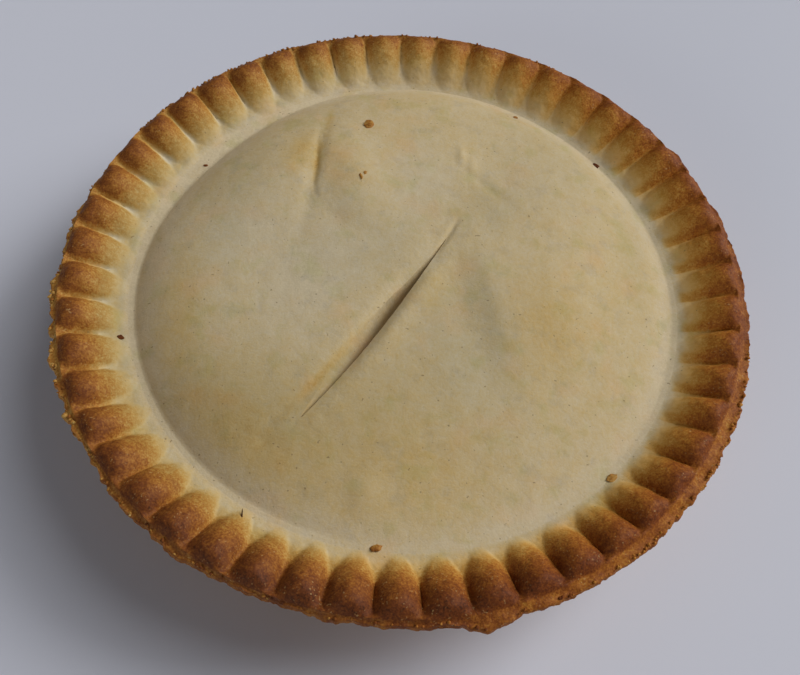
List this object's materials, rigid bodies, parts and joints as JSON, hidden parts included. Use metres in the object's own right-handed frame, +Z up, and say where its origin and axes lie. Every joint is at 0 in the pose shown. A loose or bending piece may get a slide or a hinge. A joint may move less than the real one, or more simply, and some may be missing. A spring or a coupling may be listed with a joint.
{
  "type": "meat and potato pie",
  "caption": "Round double-crust pie with a pale domed lid cut by a knife slit, a browned fluted rim and a tapered pastry case with a flat underside.",
  "frame": {"origin": "centre of the flat underside", "axes": "+Z up through the middle of the lid; -Y towards the eater's side that the picture shows nearest; +X to the picture's right"},
  "size_m": [0.1995, 0.2006, 0.0418],
  "materials": {
    "baked_pastry": "matt golden baked pastry, as on the case's wall and underside",
    "pale_lid_pastry": "matt, pale cream, faintly mottled and speckled",
    "browned_rim_pastry": "matt, golden to dark brown on the crests of the flutes"
  },
  "bodies": {
    "root": {"pie": "baked_pastry"}
  },
  "joints": []
}
